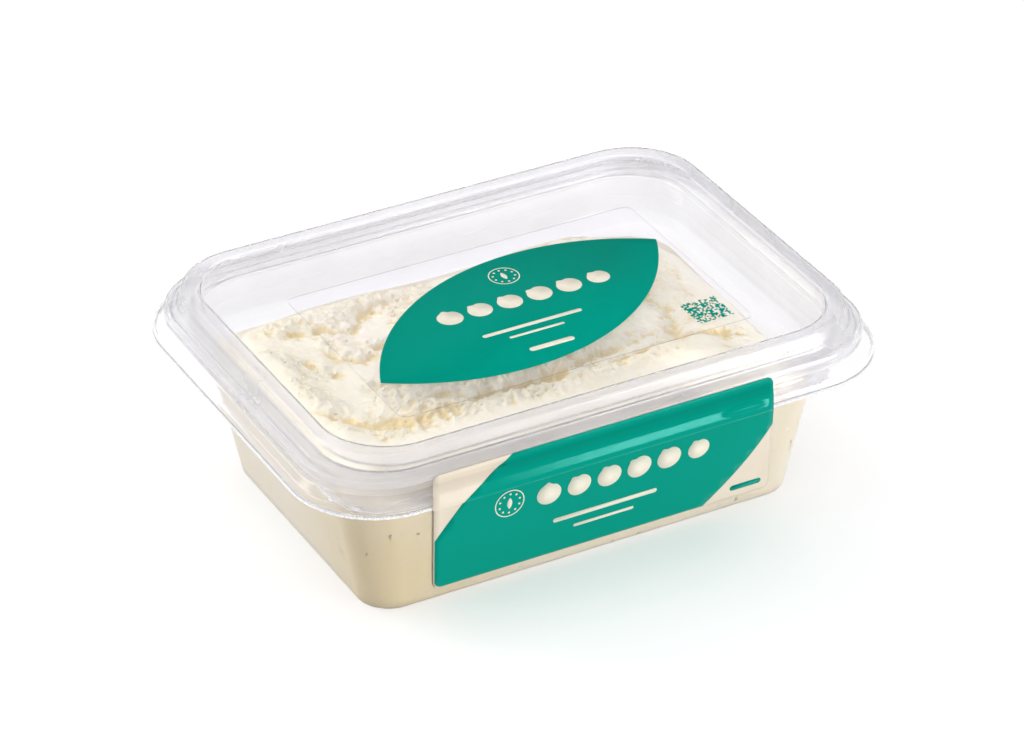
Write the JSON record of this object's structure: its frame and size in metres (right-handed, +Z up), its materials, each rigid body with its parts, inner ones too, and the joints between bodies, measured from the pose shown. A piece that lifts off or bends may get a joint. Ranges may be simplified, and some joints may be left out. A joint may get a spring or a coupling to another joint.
{
  "type": "hummus",
  "caption": "Hummus in a clear rectangular plastic tub with a clear press-on lid, a film label on the lid and a sticker that runs from the lid down the front.",
  "frame": {"origin": "middle of the tub's underside", "axes": "+Z up, +X along the long side, the side with the front label faces -Y"},
  "size_m": [0.196, 0.1465, 0.0662],
  "materials": {
    "clear_tub": "clear, thermoformed, glossy",
    "clear_lid": "clear, thermoformed, glossy",
    "hummus": "moist, thick and finely grainy paste with soft gloss",
    "front_sticker": "coated, satin to glossy",
    "film_label": "clear film with a printed green field, glossy"
  },
  "bodies": {
    "root": {"tub": "clear_tub", "hummus": "hummus", "lid": "clear_lid", "label_front": "front_sticker", "label_top": "film_label"}
  },
  "joints": []
}
